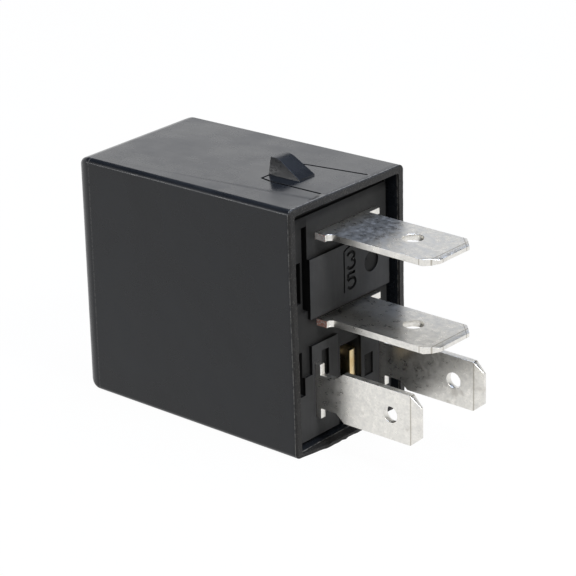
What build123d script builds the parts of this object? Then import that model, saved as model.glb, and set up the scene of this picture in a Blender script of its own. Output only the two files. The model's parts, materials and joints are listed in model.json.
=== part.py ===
"""Plug-in automotive relay with four blades, lying on the side of its cover.

The blades point along +X and the latch wedge is on top, on the +Z side.
The origin is the centre of the underside of the cover.
All sizes are in millimetres.
"""

from build123d import *
import os
from math import cos, radians, sin, tan

# Cover
cover_length = 34.8
cover_width = 20.4
cover_height = 31.0
cover_wall = 0.9
cover_end_wall = 1.2
cover_draft = 0.49
long_edge_radius = 0.7
end_edge_radius = 2.3
end_face_trim = 0.05
cavity_corner_radius = 0.4
guide_rib_width = 1.2
guide_rib_height = 0.75
guide_rib_heights = (6.2, 25.6)

# Latch tongue and wedge on top of the cover
slit_width = 0.25
tongue_half_width = 3.5
tongue_tip_half_width = 3.2
tongue_root_flare = 1.2
tongue_root_inset = 1.0
tongue_length = 9.5
tongue_corner_length = 1.5
wedge_height = 2.15
wedge_length = 4.75
wedge_flat_length = 0.95
wedge_brow_run = 0.65
wedge_brow_drop = 0.2
wedge_toe_height = 0.25
wedge_width = 2.9
wedge_top_width = 2.4
wedge_offset_y = -0.35
wedge_steep_face_run = 0.25
wedge_root_inset = 6.0

# Base
base_thickness = 3.0
base_inset = 0.9
base_side_clearance = 0.1
base_top_clearance = 0.3
base_floor_gap = 0.35
base_corner_radius = 0.8
recess_depth = 0.45
slot_clearance = 0.03
snap_height = 0.25
snap_length = 5.0
snap_width = 0.9
snap_inset = 0.85
snap_heights = (10.0, 22.0)
snap_clearance = 0.05
edge_notch_depth = 1.75
edge_notches = ((18.6, 23.7), (7.1, 12.5))
upper_field_y = (-6.2, 8.4)
upper_field_z = (16.3, 23.7)
near_field_y = (-6.1, -1.35)
near_field_top_z = 12.9
near_foot_top_z = 9.3
far_field_top_z = 12.3
side_groove = (-7.1, -6.2, 17.3, 27.8)
far_channel_z = (13.4, 29.4)
shoulder_pocket = (-4.4, -3.05, 8.5, 11.8)
groove_depth = 1.2
mark_field = (3.5, 5.1, 5.7, 8.5)
mark_depth = 0.2
dimple_place = (5.05, 20.1)
dimple_radius = 1.3
back_chamfer = 0.3
yoke_pad_width = 2.0
yoke_pad_end_gap = 1.6

# Terminals, which are all centred on one line beside the middle of the cover
terminal_y = 0.9
tab_thickness = 0.8
coil_tab_spacing = 12.0
coil_tab_z = 7.1
coil_tab_width = 6.3
coil_tab_reach = 14.5
coil_tab_neck_width = 4.3
coil_tab_neck_end = 2.0
coil_tab_full_width_at = 3.2
coil_tab_tip_cut = (1.5, 1.24)
coil_tab_bevel_length = 1.4
coil_tab_tip_thickness = 0.35
coil_tab_hole = 2.0
coil_tab_hole_reach = 10.15
coil_shoulder_width = 6.9
coil_shoulder_inset = 0.2
coil_tail_width = 3.8
coil_tail_length = 3.8
load_tab_width = 8.3
load_tab_shift_y = -0.55
load_tab_reach = 15.0
load_tab_tip_cut = 1.4
load_tab_bevel_length = 0.7
load_tab_tip_thickness = 0.5
load_tab_hole = 2.5
load_tab_hole_reach = 8.6
load_shoulder_width = 11.0
load_shoulder_near_reach = 0.15
load_shoulder_far_inset = 0.65
load_shoulder_corner_cut = 0.4
common_tab_z = 26.1
contact_tab_z = 15.4

# Coil, core and yoke
coil_z = 16.7
core_diameter = 6.5
core_pole_diameter = 11.0
core_pole_thickness = 1.5
core_rivet_diameter = 5.0
core_rivet_head_diameter = 6.4
core_rivet_head_thickness = 0.5
bore_clearance = 0.08
bobbin_length = 19.5
bobbin_tube_wall = 0.85
bobbin_flange_thickness = 1.2
bobbin_flange_width = 13.6
bobbin_corner_radius = 1.2
winding_diameter = 13.0
winding_end_gap = 0.1
wire_exit_gap = 0.5
tape_thickness = 0.15
tape_clearance = 0.02
yoke_thickness = 1.8
yoke_width = 14.0
yoke_bend_radius = 0.3
yoke_foot_z = 10.6
yoke_base_gap = 2.1
yoke_neck_length = 4.6
yoke_neck_inset = 0.8
common_strip_length = 9.6
common_strip_width = 8.0

# Armature, contact spring and contacts
armature_thickness = 1.4
armature_width = 13.0
armature_length = 15.3
armature_hinge_drop = 0.2
armature_bend_radius = 1.0
armature_corner_cut = 1.6
armature_pole_gap = 0.04
armature_open_angle = 3.2
spring_thickness = 0.25
spring_width = 9.0
spring_bend_radius = 1.3
spring_lay_gap = 0.02
spring_window_width = 4.2
spring_seat_length = 9.4
spring_tongue_width = 5.2
spring_length = 22.2
contact_z = 5.4
contact_diameter = 3.4
contact_head = 0.7
contact_shank_diameter = 1.8
contact_back_diameter = 2.8
contact_back_head = 0.5
contact_edge_radius = 0.2
contact_closed_gap = 0.03
fixed_contact_head = 0.6
stop_contact_diameter = 2.4
stop_contact_head = 0.4
stop_contact_gap = 0.1

# Strip of the normally open contact
contact_strip_width = 6.0
contact_strip_z = 7.7
contact_strip_bend_radius = 0.7
contact_strip_foot = 3.6
contact_strip_bend_trim = 0.01
contact_strip_shift_start = 2.4
contact_strip_shift_length = 3.0
riser_width = 3.1
riser_side_gap = 0.8

# Brass strip of the rest stop, whose tail stands in the spare slot
brass_thickness = 0.5
brass_rise = (4.1, 8.6)
brass_tail_rise = (5.9, 9.6)
brass_tail_inset = 0.6
brass_lip_width = 1.15
brass_lip_turn = 0.35
brass_side_y = 4.85
brass_bend_radius = 0.8
brass_jog_length = 2.4
spare_slot_y = (-0.5, 2.9)
spare_slot_z = (5.8, 10.9)

# Rivets
rivet_diameter = 1.6
rivet_head_diameter = 2.8
rivet_head_thickness = 0.45
rivet_spacing = 5.0
rivet_fit = 0.03
strip_rivet_inset = 2.6
spring_rivet_inset = 3.0
armature_rivet_drop = 5.0

# Resistor and wires
resistor_diameter = 2.2
resistor_length = 5.9
resistor_z = 3.0
resistor_inset = 2.7
resistor_shift_y = 1.5
resistor_end_radius = 0.35
lead_diameter = 0.5
lead_rise = 3.4
wire_diameter = 0.3

# Places that follow from the sizes above
rim_x = cover_length / 2
end_x = -cover_length / 2
draft_slope = tan(radians(cover_draft))
cavity_end_x = end_x + cover_end_wall
base_front_x = rim_x - base_inset
base_back_x = base_front_x - base_thickness
base_bottom_z = cover_wall + base_floor_gap
base_top_z = cover_height - cover_wall - base_top_clearance - 2 * draft_slope * base_inset
base_half_width = (
    cover_width / 2 - cover_wall - base_side_clearance - draft_slope * (base_inset + base_thickness)
)
recess_x = base_front_x - recess_depth
snap_x = base_back_x + snap_inset

yoke_top_z = common_tab_z - tab_thickness / 2
yoke_under_z = yoke_top_z - yoke_thickness
yoke_back_x = base_back_x - yoke_base_gap
yoke_front_x = yoke_back_x - yoke_thickness
bobbin_front_x = yoke_front_x
pole_seat_x = bobbin_front_x - bobbin_length
pole_face_x = pole_seat_x - core_pole_thickness
hinge_x = pole_face_x
hinge_z = yoke_top_z
bobbin_flange_height = 2 * (yoke_under_z - yoke_bend_radius - coil_z)

armature_inner_x = hinge_x - armature_pole_gap
armature_outer_x = armature_inner_x - armature_thickness
spring_inner_x = armature_outer_x - spring_lay_gap
spring_outer_x = spring_inner_x - spring_thickness
contact_face_x = spring_inner_x + contact_head
fixed_contact_face_x = contact_face_x + contact_closed_gap
strip_end_x = fixed_contact_face_x + fixed_contact_head

coil_tab_y = (terminal_y - coil_tab_spacing / 2, terminal_y + coil_tab_spacing / 2)
riser_y = coil_tab_y[0] + tab_thickness / 2 + riser_side_gap
rivet_y = (terminal_y - rivet_spacing / 2, terminal_y + rivet_spacing / 2)
spare_wall_y = spare_slot_y[1] - slot_clearance

# Where the back of the moving contact comes to rest against its stop
open_turn = radians(armature_open_angle)
contact_back_out = hinge_x - (spring_outer_x - contact_back_head)
contact_drop = hinge_z - contact_z
contact_back_x = hinge_x - contact_back_out * cos(open_turn) - contact_drop * sin(open_turn)
stop_face_x = contact_back_x - stop_contact_gap
stop_plate_x = stop_face_x - stop_contact_head

hinge_line = Axis((hinge_x, terminal_y, hinge_z), (0, 1, 0))


def opened(solid):
    """Turn a piece of the closed armature to its open, resting place."""
    return solid.rotate(hinge_line, armature_open_angle)


def side_sketch_plane(y):
    """Return the plane whose sketches stand upright along X at this y."""
    return Plane.XZ.offset(-y)


def side_y(x):
    """Return half the width of the cover at x."""
    return cover_width / 2 - draft_slope * (rim_x - x)


def top_z(x):
    """Return the height of the cover at x."""
    return cover_height - 2 * draft_slope * (rim_x - x)


# Cover: tapered shell, latch tongue, wedge, guide ribs and snap pockets
def cover_form(closed_x, inset):
    """Make the cover's tapered block from closed_x to the rim, with a wall taken off all round."""
    with BuildPart() as form:
        with BuildSketch(Plane.XY):
            with BuildLine():
                Polyline(
                    (closed_x, inset - side_y(closed_x)),
                    (rim_x, inset - side_y(rim_x)),
                    (rim_x, side_y(rim_x) - inset),
                    (closed_x, side_y(closed_x) - inset),
                    close=True,
                )
            make_face()
        extrude(amount=cover_height)
        with BuildSketch(side_sketch_plane(cover_width / 2)):
            with BuildLine():
                Polyline(
                    (closed_x, inset),
                    (rim_x, inset),
                    (rim_x, top_z(rim_x) - inset),
                    (closed_x, top_z(closed_x) - inset),
                    close=True,
                )
            make_face()
        extrude(amount=cover_width, mode=Mode.INTERSECT)
    return form.part


def runs_lengthwise(edge):
    """Tell whether an edge leaves one of its ends along the cover's length."""
    return max(abs(edge.tangent_at(end).X) for end in (0, 1)) > cos(radians(10))


with BuildPart() as cavity:
    add(cover_form(cavity_end_x, cover_wall))
    fillet(cavity.edges().filter_by(runs_lengthwise), radius=cavity_corner_radius)
    for side in (-1, 1):
        for rib_z in guide_rib_heights:
            rib_base = side_y(end_x) - cover_wall - guide_rib_height
            with BuildSketch(Plane.YZ.offset(base_back_x)):
                with Locations((side * rib_base, rib_z)):
                    outward = Align.MIN if side > 0 else Align.MAX
                    Rectangle(cover_wall + guide_rib_height, guide_rib_width, align=(outward, Align.CENTER))
            extrude(amount=-cover_length, mode=Mode.SUBTRACT)

wedge_front_x = rim_x - wedge_root_inset
wedge_back_x = wedge_front_x - wedge_length
wedge_foot_z = top_z(wedge_back_x) - cover_wall / 2
wedge_top_z = wedge_foot_z + cover_wall / 2 + wedge_height
wedge_flat_end_x = wedge_back_x + wedge_steep_face_run + wedge_flat_length

with BuildPart() as wedge:
    with BuildSketch(side_sketch_plane(wedge_offset_y)):
        with BuildLine():
            Polyline(
                (wedge_back_x, wedge_foot_z),
                (wedge_back_x + wedge_steep_face_run, wedge_top_z),
                (wedge_flat_end_x, wedge_top_z),
                (wedge_flat_end_x + wedge_brow_run, wedge_top_z - wedge_brow_drop),
                (wedge_front_x, wedge_top_z - wedge_height + wedge_toe_height),
                (wedge_front_x, wedge_foot_z),
                close=True,
            )
        make_face()
    extrude(amount=wedge_width / 2, both=True)
    with BuildSketch(Plane.YZ.offset(wedge_back_x)):
        with BuildLine():
            Polyline(
                (wedge_offset_y - wedge_width / 2, wedge_foot_z),
                (wedge_offset_y - wedge_top_width / 2, wedge_top_z),
                (wedge_offset_y + wedge_top_width / 2, wedge_top_z),
                (wedge_offset_y + wedge_width / 2, wedge_foot_z),
                close=True,
            )
        make_face()
    extrude(amount=wedge_length, mode=Mode.INTERSECT)

with BuildPart() as cover:
    add(cover_form(end_x - end_face_trim, 0))
    closed_end = cover.faces().sort_by(Axis.X)[0]
    fillet(closed_end.edges(), radius=end_edge_radius)
    fillet(cover.edges().filter_by(runs_lengthwise), radius=long_edge_radius)
    split(bisect_by=Plane.YZ.offset(end_x), keep=Keep.TOP)
    add(cavity.part, mode=Mode.SUBTRACT)

    root_x = rim_x - tongue_root_inset
    corner_x = root_x - tongue_length + tongue_corner_length
    tip_x = root_x - tongue_length
    with BuildSketch(Plane.XY.offset(cover_height)):
        for side, flare in ((-1, 0), (1, tongue_root_flare)):
            with BuildLine():
                Polyline(
                    (root_x, side * (tongue_half_width + flare)),
                    (corner_x, side * tongue_half_width),
                    (tip_x, side * tongue_tip_half_width),
                )
            trace(line_width=slit_width)
        with BuildLine():
            Line((tip_x, -tongue_tip_half_width), (tip_x, tongue_tip_half_width))
        trace(line_width=slit_width)
    extrude(amount=-3 * cover_wall, mode=Mode.SUBTRACT)

    add(wedge.part)

    for side in (-1, 1):
        for snap_z in snap_heights:
            with BuildSketch(Plane.XZ.offset(-side * base_half_width)):
                with Locations((snap_x, snap_z)):
                    Rectangle(snap_width + 2 * snap_clearance, snap_length + 2 * snap_clearance)
            pocket = base_side_clearance + snap_height + 2 * snap_clearance
            extrude(amount=-side * pocket, mode=Mode.SUBTRACT)

cover.part.label = "cover"


# Base: plate with terminal slots, raised fields, yoke pads and snap bumps
upper_field = (upper_field_y[0], upper_field_y[1], upper_field_z[0], upper_field_z[1])
near_field = (near_field_y[0], near_field_y[1], base_bottom_z, near_field_top_z)
near_foot = (-base_half_width, near_field_y[0], base_bottom_z, near_foot_top_z)
far_field = (spare_slot_y[1], upper_field_y[1], base_bottom_z, far_field_top_z)
far_channel = (upper_field_y[1], base_half_width, far_channel_z[0], far_channel_z[1])


def field(y_low, y_high, z_low, z_high):
    """Draw a rectangle between two y values and two z values, in the open sketch."""
    width, height = y_high - y_low, z_high - z_low
    return Pos((y_low + y_high) / 2, (z_low + z_high) / 2) * Rectangle(width, height, mode=Mode.PRIVATE)


with BuildSketch() as base_outline:
    add(field(-base_half_width, base_half_width, base_bottom_z, base_top_z))
    fillet(base_outline.vertices(), radius=base_corner_radius)

with BuildPart() as base:
    with BuildSketch(Plane.YZ.offset(base_back_x)):
        add(base_outline.sketch)
    extrude(amount=base_thickness - recess_depth)
    chamfer(base.faces().sort_by(Axis.X)[0].edges(), length=back_chamfer)
    with BuildSketch(Plane.YZ.offset(recess_x)):
        for raised in (upper_field, near_field, near_foot, far_field):
            add(field(*raised))
        add(base_outline.sketch, mode=Mode.INTERSECT)
    extrude(amount=recess_depth)
    with BuildSketch(Plane.YZ.offset(recess_x)):
        add(field(*side_groove))
        add(field(*far_channel))
    extrude(amount=-groove_depth, mode=Mode.SUBTRACT)
    with BuildSketch(Plane.YZ.offset(base_front_x)):
        for notch_low, notch_high in edge_notches:
            add(field(-base_half_width, edge_notch_depth - base_half_width, notch_low, notch_high))
    extrude(amount=-recess_depth - groove_depth / 2, mode=Mode.SUBTRACT)
    with BuildSketch(Plane.YZ.offset(base_front_x)):
        add(field(*shoulder_pocket))
    extrude(amount=-recess_depth, mode=Mode.SUBTRACT)
    with BuildSketch(Plane.YZ.offset(base_front_x)):
        add(field(*mark_field))
        with Locations(dimple_place):
            Circle(dimple_radius)
    extrude(amount=-mark_depth, mode=Mode.SUBTRACT)

    with BuildSketch(Plane.YZ.offset(base_front_x)):
        with Locations((terminal_y, common_tab_z), (terminal_y, contact_tab_z)):
            Rectangle(load_shoulder_width + 2 * slot_clearance, tab_thickness + 2 * slot_clearance)
        with Locations((coil_tab_y[0], coil_tab_z), (coil_tab_y[1], coil_tab_z)):
            Rectangle(tab_thickness + 2 * slot_clearance, coil_shoulder_width + 2 * slot_clearance)
        add(field(*spare_slot_y, *spare_slot_z))
    extrude(amount=-base_thickness, mode=Mode.SUBTRACT)

    pad_low_z = yoke_foot_z + yoke_pad_end_gap
    pad_high_z = yoke_under_z - yoke_pad_end_gap
    with BuildSketch(Plane.YZ.offset(base_back_x)):
        for side in (-1, 1):
            pad_y = terminal_y + side * (yoke_width - yoke_pad_width) / 2
            add(field(pad_y - yoke_pad_width / 2, pad_y + yoke_pad_width / 2, pad_low_z, pad_high_z))
    extrude(amount=-yoke_base_gap)

    for side in (-1, 1):
        for snap_z in snap_heights:
            with BuildSketch(Plane.XZ.offset(-side * base_half_width)):
                with Locations((snap_x, snap_z)):
                    Rectangle(snap_width, snap_length)
            extrude(amount=-side * snap_height)

base.part.label = "base"


# Coil terminals 1 and 2: upright blades with a neck, a shoulder and an inner tail
def coil_tab(y):
    """Make the upright blade that is centred on y."""
    half = coil_tab_width / 2
    neck = coil_tab_neck_width / 2
    tail = coil_tail_width / 2
    shoulder = coil_shoulder_width / 2
    tip_x = rim_x + coil_tab_reach
    shoulder_x = rim_x - coil_shoulder_inset
    neck_x = rim_x + coil_tab_neck_end
    full_x = rim_x + coil_tab_full_width_at
    tail_x = base_back_x - coil_tail_length
    upper = (
        (tail_x, tail),
        (base_back_x, tail),
        (base_back_x, shoulder),
        (shoulder_x, shoulder),
        (shoulder_x, neck),
        (neck_x, neck),
        (full_x, half),
        (tip_x - coil_tab_tip_cut[0], half),
        (tip_x, half - coil_tab_tip_cut[1]),
    )
    with BuildPart() as tab:
        with BuildSketch(side_sketch_plane(y)):
            with BuildLine(mode=Mode.PRIVATE) as outline:
                Polyline([(x, coil_tab_z + z) for x, z in upper], mode=Mode.ADD)
                Polyline([(x, coil_tab_z - z) for x, z in upper], mode=Mode.ADD)
                Line((tail_x, coil_tab_z - tail), (tail_x, coil_tab_z + tail))
                last_z = half - coil_tab_tip_cut[1]
                Line((tip_x, coil_tab_z - last_z), (tip_x, coil_tab_z + last_z))
            make_face(outline.edges())
            with Locations((rim_x + coil_tab_hole_reach, coil_tab_z)):
                Circle(coil_tab_hole / 2, mode=Mode.SUBTRACT)
        extrude(amount=tab_thickness / 2, both=True)
        with BuildSketch(Plane.XY.offset(coil_tab_z - coil_shoulder_width / 2)):
            add(bevelled_profile(tail_x, tip_x, y, coil_tab_bevel_length, coil_tab_tip_thickness))
        extrude(amount=coil_shoulder_width, mode=Mode.INTERSECT)
    return tab.part


def bevelled_profile(start_x, tip_x, middle, bevel_length, tip_thickness):
    """Return the long thin face of a blade whose tip is bevelled on both sides."""
    with BuildSketch(mode=Mode.PRIVATE) as profile:
        with BuildLine():
            Polyline(
                (start_x, middle - tab_thickness / 2),
                (tip_x - bevel_length, middle - tab_thickness / 2),
                (tip_x, middle - tip_thickness / 2),
                (tip_x, middle + tip_thickness / 2),
                (tip_x - bevel_length, middle + tab_thickness / 2),
                (start_x, middle + tab_thickness / 2),
                close=True,
            )
        make_face()
    return profile.sketch


with BuildPart() as terminal_1:
    add(coil_tab(coil_tab_y[0]))

terminal_1.part.label = "terminal_1"

with BuildPart() as terminal_2:
    add(coil_tab(coil_tab_y[1]))

terminal_2.part.label = "terminal_2"


# Load terminals 3 and 5: flat blades with a wide shoulder
def load_blade(middle_z):
    """Make the flat blade of a load terminal, from the back of the base to its tip."""
    tip_x = rim_x + load_tab_reach
    low_y = terminal_y + load_tab_shift_y - load_tab_width / 2
    high_y = low_y + load_tab_width
    near_x = rim_x + load_shoulder_near_reach
    far_x = rim_x - load_shoulder_far_inset
    near_y = terminal_y - load_shoulder_width / 2
    far_y = terminal_y + load_shoulder_width / 2
    with BuildPart() as blade:
        with BuildSketch(Plane.XY.offset(middle_z - tab_thickness / 2)):
            with BuildLine():
                Polyline(
                    (base_back_x, near_y),
                    (near_x, near_y),
                    (near_x, low_y - load_shoulder_corner_cut),
                    (near_x + load_shoulder_corner_cut, low_y),
                    (tip_x - load_tab_tip_cut, low_y),
                    (tip_x, low_y + load_tab_tip_cut),
                    (tip_x, high_y - load_tab_tip_cut),
                    (tip_x - load_tab_tip_cut, high_y),
                    (far_x, high_y),
                    (far_x, far_y),
                    (base_back_x, far_y),
                    close=True,
                )
            make_face()
            with Locations((rim_x + load_tab_hole_reach, terminal_y)):
                Circle(load_tab_hole / 2, mode=Mode.SUBTRACT)
        extrude(amount=tab_thickness)
        with BuildSketch(side_sketch_plane(far_y)):
            add(bevelled_profile(base_back_x, tip_x, middle_z, load_tab_bevel_length, load_tab_tip_thickness))
        extrude(amount=load_shoulder_width, mode=Mode.INTERSECT)
    return blade.part


def pin(plane, *steps):
    """Make a stepped pin along a plane's normal from steps of start, end and diameter."""
    with BuildPart() as piece:
        for start, end, diameter in steps:
            with BuildSketch(plane.offset(start)):
                Circle(diameter / 2)
            extrude(amount=end - start)
    return piece.part


def rounded_pin(plane, radius, *steps):
    """Make a stepped pin whose two outer rims are rounded."""
    with BuildPart() as piece:
        add(pin(plane, *steps))
        ends = piece.faces().filter_by(GeomType.PLANE).sort_by(Axis(plane.origin, plane.z_dir))
        fillet(ends[-1].edges() + ends[0].edges(), radius=radius)
    return piece.part


strip_end_inner_x = base_back_x - common_strip_length
strip_rivet_x = strip_end_inner_x + strip_rivet_inset
strip_rivet_planes = [Plane((strip_rivet_x, y, 0)) for y in rivet_y]

with BuildPart() as terminal_3:
    add(load_blade(common_tab_z))
    with BuildSketch(Plane.XY.offset(yoke_top_z)):
        with Locations((base_back_x, terminal_y)):
            Rectangle(common_strip_length, common_strip_width, align=(Align.MAX, Align.CENTER))
        with Locations((strip_rivet_x, rivet_y[0]), (strip_rivet_x, rivet_y[1])):
            Circle(rivet_diameter / 2 + rivet_fit, mode=Mode.SUBTRACT)
    extrude(amount=tab_thickness)

terminal_3.part.label = "terminal_3"

riser_x = base_back_x - contact_strip_bend_radius
foot_x = strip_end_x + tab_thickness / 2
foot_y = (terminal_y - contact_strip_width / 2, terminal_y + contact_strip_width / 2)
shift_x = (
    riser_x - contact_strip_shift_start,
    riser_x - contact_strip_shift_start - contact_strip_shift_length,
)
contact_plane = Plane((0, terminal_y, contact_z), x_dir=(0, 1, 0), z_dir=(1, 0, 0))

with BuildPart() as terminal_5:
    with BuildSketch(side_sketch_plane(foot_y[1])):
        with BuildLine():
            FilletPolyline(
                (base_back_x, contact_tab_z),
                (riser_x, contact_tab_z),
                (riser_x, contact_strip_z),
                (foot_x, contact_strip_z),
                (foot_x, contact_strip_z - contact_strip_foot),
                radius=contact_strip_bend_radius - contact_strip_bend_trim,
            )
        trace(line_width=tab_thickness)
    extrude(amount=foot_y[1] - riser_y)
    with BuildSketch(Plane.XY):
        with BuildLine():
            Polyline(
                (base_back_x, riser_y),
                (shift_x[0], riser_y),
                (shift_x[1], foot_y[0]),
                (cavity_end_x, foot_y[0]),
                (cavity_end_x, foot_y[1]),
                (shift_x[1], foot_y[1]),
                (shift_x[0], riser_y + contact_strip_width),
                (base_back_x, riser_y + contact_strip_width),
                close=True,
            )
        make_face()
    extrude(amount=cover_height, mode=Mode.INTERSECT)
    with BuildSketch(Plane.XY.offset(contact_strip_z + tab_thickness)):
        with Locations((base_back_x, riser_y + riser_width)):
            Rectangle(2 * tab_thickness + contact_strip_bend_radius, contact_strip_width,
                      align=(Align.MAX, Align.MIN))
    extrude(amount=cover_height, mode=Mode.SUBTRACT)
    add(load_blade(contact_tab_z))
    add(pin(contact_plane, (strip_end_x, foot_x + tab_thickness, contact_shank_diameter + 2 * rivet_fit)),
        mode=Mode.SUBTRACT)

terminal_5.part.label = "terminal_5"


# Yoke: bent steel angle that carries the coil, terminal 3 and the armature
yoke_middle = yoke_thickness / 2
spring_rivet_x = hinge_x + spring_seat_length - spring_rivet_inset
core_plane = Plane((0, terminal_y, coil_z), x_dir=(0, 1, 0), z_dir=(1, 0, 0))

with BuildPart() as yoke:
    with BuildSketch(side_sketch_plane(terminal_y)):
        with BuildLine():
            FilletPolyline(
                (hinge_x, yoke_top_z - yoke_middle),
                (yoke_back_x - yoke_middle, yoke_top_z - yoke_middle),
                (yoke_back_x - yoke_middle, yoke_foot_z),
                radius=yoke_bend_radius + yoke_middle,
            )
        trace(line_width=yoke_thickness)
    extrude(amount=yoke_width / 2, both=True)
    with BuildSketch(Plane.XY.offset(yoke_under_z)):
        for side in (-1, 1):
            with Locations((hinge_x, terminal_y + side * yoke_width / 2)):
                Rectangle(2 * yoke_neck_length, 2 * yoke_neck_inset)
        with Locations(*[(x, y) for x in (strip_rivet_x, spring_rivet_x) for y in rivet_y]):
            Circle(rivet_diameter / 2 + rivet_fit)
    extrude(amount=yoke_thickness, mode=Mode.SUBTRACT)
    add(pin(core_plane, (yoke_front_x, yoke_back_x, core_rivet_diameter + 2 * rivet_fit)),
        mode=Mode.SUBTRACT)

yoke.part.label = "yoke"

with BuildPart() as strip_rivets:
    for plane in strip_rivet_planes:
        top = yoke_top_z + tab_thickness
        add(pin(plane, (yoke_under_z, top, rivet_diameter),
                (top, top + rivet_head_thickness, rivet_head_diameter)))

strip_rivets.part.label = "strip_rivets"

with BuildPart() as spring_rivets:
    for y in rivet_y:
        top = yoke_top_z + spring_thickness
        add(pin(Plane((spring_rivet_x, y, 0)), (yoke_under_z, top, rivet_diameter),
                (top, top + rivet_head_thickness, rivet_head_diameter)))

spring_rivets.part.label = "spring_rivets"


# Coil: core with its pole and riveted end, bobbin, winding and tape
with BuildPart() as core:
    add(pin(
        core_plane,
        (pole_face_x, pole_seat_x, core_pole_diameter),
        (pole_seat_x, bobbin_front_x, core_diameter),
        (bobbin_front_x, yoke_back_x, core_rivet_diameter),
        (yoke_back_x, yoke_back_x + core_rivet_head_thickness, core_rivet_head_diameter),
    ))

core.part.label = "core"

bore_diameter = core_diameter + 2 * bore_clearance
tube_diameter = bore_diameter + 2 * bobbin_tube_wall
flange_inner_x = (pole_seat_x + bobbin_flange_thickness, bobbin_front_x - bobbin_flange_thickness)

with BuildPart() as bobbin:
    for flange_x in (pole_seat_x, flange_inner_x[1]):
        with BuildSketch(core_plane.offset(flange_x)):
            RectangleRounded(bobbin_flange_width, bobbin_flange_height, bobbin_corner_radius)
        extrude(amount=bobbin_flange_thickness)
    add(pin(core_plane, (pole_seat_x, bobbin_front_x, tube_diameter)))
    add(pin(core_plane, (pole_seat_x, bobbin_front_x, bore_diameter)), mode=Mode.SUBTRACT)

bobbin.part.label = "bobbin"

winding_x = (flange_inner_x[0] + winding_end_gap, flange_inner_x[1] - winding_end_gap)

with BuildPart() as coil_winding:
    with BuildSketch(core_plane.offset(winding_x[0])):
        Circle(winding_diameter / 2)
        Circle(tube_diameter / 2 + tape_clearance, mode=Mode.SUBTRACT)
    extrude(amount=winding_x[1] - winding_x[0])

coil_winding.part.label = "coil_winding"

with BuildPart() as coil_tape:
    with BuildSketch(core_plane.offset(winding_x[0])):
        Circle(winding_diameter / 2 + tape_clearance + tape_thickness)
        Circle(winding_diameter / 2 + tape_clearance, mode=Mode.SUBTRACT)
    extrude(amount=winding_x[1] - winding_x[0] - wire_exit_gap)

coil_tape.part.label = "coil_tape"


# Armature: hinged plate, drawn closed and then turned open about the yoke's end
armature_rivet_z = hinge_z - armature_rivet_drop
armature_rivet_planes = [
    Plane((0, y, armature_rivet_z), x_dir=(0, 1, 0), z_dir=(-1, 0, 0)) for y in rivet_y
]

with BuildPart() as armature_closed:
    with BuildSketch(Plane.YZ.offset(armature_outer_x)):
        with Locations((terminal_y, hinge_z - armature_hinge_drop)):
            Rectangle(armature_width, armature_length, align=(Align.CENTER, Align.MAX))
        chamfer(vertices().group_by(Axis.Y)[0], length=armature_corner_cut)
        with Locations(*[(y, armature_rivet_z) for y in rivet_y]):
            Circle(rivet_diameter / 2 + rivet_fit, mode=Mode.SUBTRACT)
    extrude(amount=armature_thickness)
    top_edges = armature_closed.faces().sort_by(Axis.Z)[-1].edges()
    fillet(top_edges.sort_by(Axis.X)[0], radius=armature_bend_radius)

with BuildPart() as armature:
    add(opened(armature_closed.part))

armature.part.label = "armature"

with BuildPart() as armature_rivets:
    for plane in armature_rivet_planes:
        add(opened(pin(
            plane,
            (-armature_inner_x, -spring_outer_x, rivet_diameter),
            (-spring_outer_x, -spring_outer_x + rivet_head_thickness, rivet_head_diameter),
        )))

armature_rivets.part.label = "armature_rivets"


# Contact spring: leaf from the yoke round the hinge and down the armature, at rest
spring_middle = spring_thickness / 2
lay_distance = hinge_x - spring_inner_x + spring_middle
corner_x = hinge_x - (lay_distance - sin(open_turn) * spring_middle) / cos(open_turn)
spring_tip_x = hinge_x - lay_distance * cos(open_turn) - spring_length * sin(open_turn)
spring_tip_z = hinge_z + lay_distance * sin(open_turn) - spring_length * cos(open_turn)
tongue_top_z = hinge_z - armature_hinge_drop - armature_length + armature_corner_cut
spring_window_x = hinge_x + spring_bend_radius
spring_window_z = hinge_z - armature_rivet_drop + rivet_head_diameter

with BuildPart() as contact_spring:
    with BuildSketch(side_sketch_plane(terminal_y)):
        with BuildLine():
            FilletPolyline(
                (hinge_x + spring_seat_length, yoke_top_z + spring_middle),
                (corner_x, yoke_top_z + spring_middle),
                (spring_tip_x, spring_tip_z),
                radius=spring_bend_radius,
            )
        trace(line_width=spring_thickness)
    extrude(amount=spring_width / 2, both=True)
    with BuildSketch(Plane.YZ.offset(cavity_end_x)):
        with Locations((terminal_y, spring_window_z)):
            Rectangle(spring_window_width, cover_height, align=(Align.CENTER, Align.MIN))
    extrude(amount=spring_window_x - cavity_end_x, mode=Mode.SUBTRACT)
    with BuildSketch(Plane.YZ.offset(cavity_end_x)):
        for side in (-1, 1):
            with BuildLine():
                Polyline(
                    (terminal_y + side * spring_tongue_width / 2, 0),
                    (terminal_y + side * spring_tongue_width / 2, tongue_top_z - armature_corner_cut),
                    (terminal_y + side * spring_width / 2, tongue_top_z),
                    (terminal_y + side * spring_width, tongue_top_z),
                    (terminal_y + side * spring_width, 0),
                    close=True,
                )
            make_face()
    extrude(amount=hinge_x - cavity_end_x, mode=Mode.SUBTRACT)
    hole = rivet_diameter + 2 * rivet_fit
    for plane in armature_rivet_planes:
        add(opened(pin(plane, (-armature_inner_x, -cavity_end_x, hole))), mode=Mode.SUBTRACT)
    shank_hole = contact_shank_diameter + 2 * rivet_fit
    add(opened(pin(contact_plane, (cavity_end_x, contact_face_x, shank_hole))), mode=Mode.SUBTRACT)
    for y in rivet_y:
        add(pin(Plane((spring_rivet_x, y, 0)), (yoke_top_z, cover_height, hole)), mode=Mode.SUBTRACT)

contact_spring.part.label = "contact_spring"


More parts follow.
